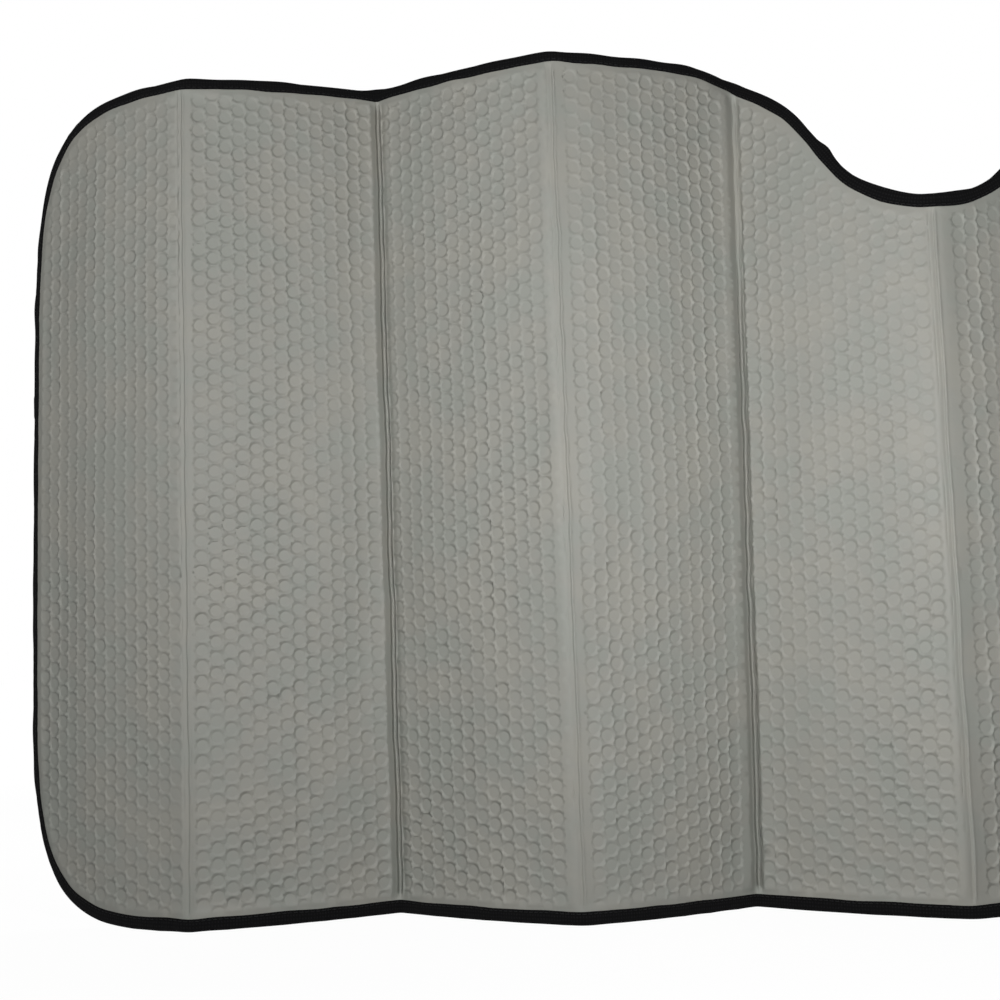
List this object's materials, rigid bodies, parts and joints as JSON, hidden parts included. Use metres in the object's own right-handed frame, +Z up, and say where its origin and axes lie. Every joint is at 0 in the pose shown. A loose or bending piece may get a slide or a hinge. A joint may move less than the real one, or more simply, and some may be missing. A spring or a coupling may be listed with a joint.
{
  "type": "windscreen sunshade",
  "caption": "Folding windscreen sunshade: a concertina sheet of bubble foil with a mirror notch and a fabric tape bound round its edge.",
  "frame": {"origin": "middle of the footprint, on the surface that the shade stands on", "axes": "+X along the windscreen, +Y towards the cabin, so that the face that looks out through the glass is towards -Y, +Z up"},
  "size_m": [1.4566, 0.072, 0.6713],
  "materials": {
    "foil": "satin grey embossed film",
    "binding": "matt woven polyester tape"
  },
  "bodies": {
    "root": {"bubble_sheet": "foil", "edge_binding": "binding"}
  },
  "joints": []
}
